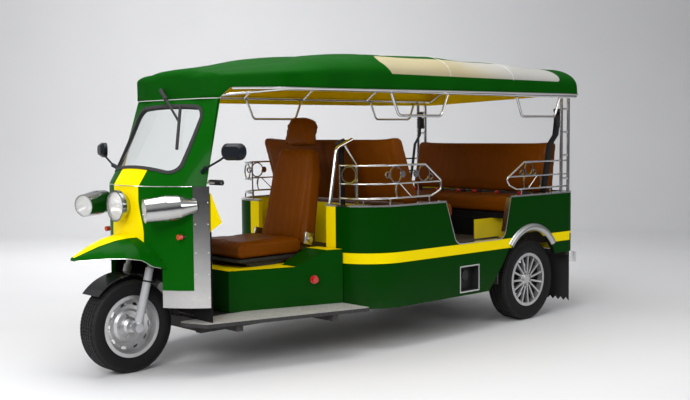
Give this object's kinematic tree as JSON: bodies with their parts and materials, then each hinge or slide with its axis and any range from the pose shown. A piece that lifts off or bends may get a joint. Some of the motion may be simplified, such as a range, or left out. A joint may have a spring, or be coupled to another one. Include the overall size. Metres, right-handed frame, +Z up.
{
  "type": "three-wheeled passenger rickshaw",
  "caption": "Motorised three-wheeled passenger rickshaw with raked windscreen, centre driver seat, facing benches behind low body sides and a canvas roof on a tube frame.",
  "frame": {"origin": "on the ground under the middle of the overall length, on the centre plane", "axes": "+X forward along the length, +Y to the vehicle's left, +Z up"},
  "size_m": [3.86, 1.507, 1.8838],
  "materials": {
    "green_paint": null,
    "yellow_paint": null,
    "stainless": null,
    "chrome": null,
    "black_steel": null,
    "floor_plate": null,
    "aluminium_plate": null,
    "black_rubber": null,
    "black_plastic": null,
    "glass": null,
    "lamp_glass": null,
    "red_lens": null,
    "brown_leather": null,
    "green_canvas": null,
    "tyre_rubber": null,
    "silver_steel": null,
    "alloy": null
  },
  "bodies": {
    "chassis": {"front_cowl": "green_paint", "screen_surround": "green_paint", "nose_fender": "green_paint", "body_side_left": "green_paint", "body_side_right": "green_paint", "tail_panel": "green_paint", "seat_plinth": "green_paint", "leg_shield_lining": "yellow_paint", "bench_bases": "yellow_paint", "driver_seat_frame": "yellow_paint", "leg_shield_trims": "stainless", "body_capping": "stainless", "arch_trims": "stainless", "railing_left": "stainless", "railing_right": "stainless", "belt_hoop": "stainless", "rear_posts": "stainless", "roof_frame": "stainless", "grab_handles": "stainless", "charge_port": "stainless", "lamp_shells": "chrome", "rear_bumper": "chrome", "chassis_frame": "black_steel", "rear_axle": "black_steel", "leaf_springs": "black_steel", "drive_motor": "black_steel", "battery_pack": "black_steel", "cabin_floor": "floor_plate", "driver_floor": "floor_plate", "running_boards": "aluminium_plate", "windscreen_seal": "black_rubber", "mudflaps": "black_rubber", "dash_panel": "black_plastic", "mirrors": "black_plastic", "wiper": "black_plastic", "windscreen": "glass", "lamp_lenses": "lamp_glass", "front_indicators": "red_lens", "tail_lamps": "red_lens", "stop_button": "red_lens", "driver_seat_cushion": "brown_leather", "driver_seat_back": "brown_leather", "driver_headrest": "brown_leather", "middle_bench_cushion": "brown_leather", "middle_bench_back": "brown_leather", "rear_bench_cushion": "brown_leather", "rear_bench_back": "brown_leather", "roof_canopy": "green_canvas"},
    "steering": {"front_fork": "silver_steel", "handlebar": "chrome", "handlebar_grips": "black_rubber", "front_mudguard": "black_plastic"},
    "front_wheel": {"front_tyre": "tyre_rubber", "front_rim": "silver_steel"},
    "rear_wheel_left": {"rear_left_tyre": "tyre_rubber", "rear_left_rim": "alloy"},
    "rear_wheel_right": {"rear_right_tyre": "tyre_rubber", "rear_right_rim": "alloy"}
  },
  "joints": [
    {"name": "steer", "type": "hinge", "parent": "chassis", "child": "steering", "pos_m": [1.39239, 0, 0.81], "axis": [-0.2588, 0, 0.9659], "range_deg": [-35, 35]},
    {"name": "front_wheel_spin", "type": "hinge", "parent": "steering", "child": "front_wheel", "pos_m": [1.6, 0, 0.267], "axis": [0, 1, 0], "continuous": true},
    {"name": "rear_left_wheel_spin", "type": "hinge", "parent": "chassis", "child": "rear_wheel_left", "pos_m": [-1.32, 0.59, 0.29], "axis": [0, 1, 0], "continuous": true},
    {"name": "rear_right_wheel_spin", "type": "hinge", "parent": "chassis", "child": "rear_wheel_right", "pos_m": [-1.32, -0.59, 0.29], "axis": [0, 1, 0], "continuous": true}
  ]
}
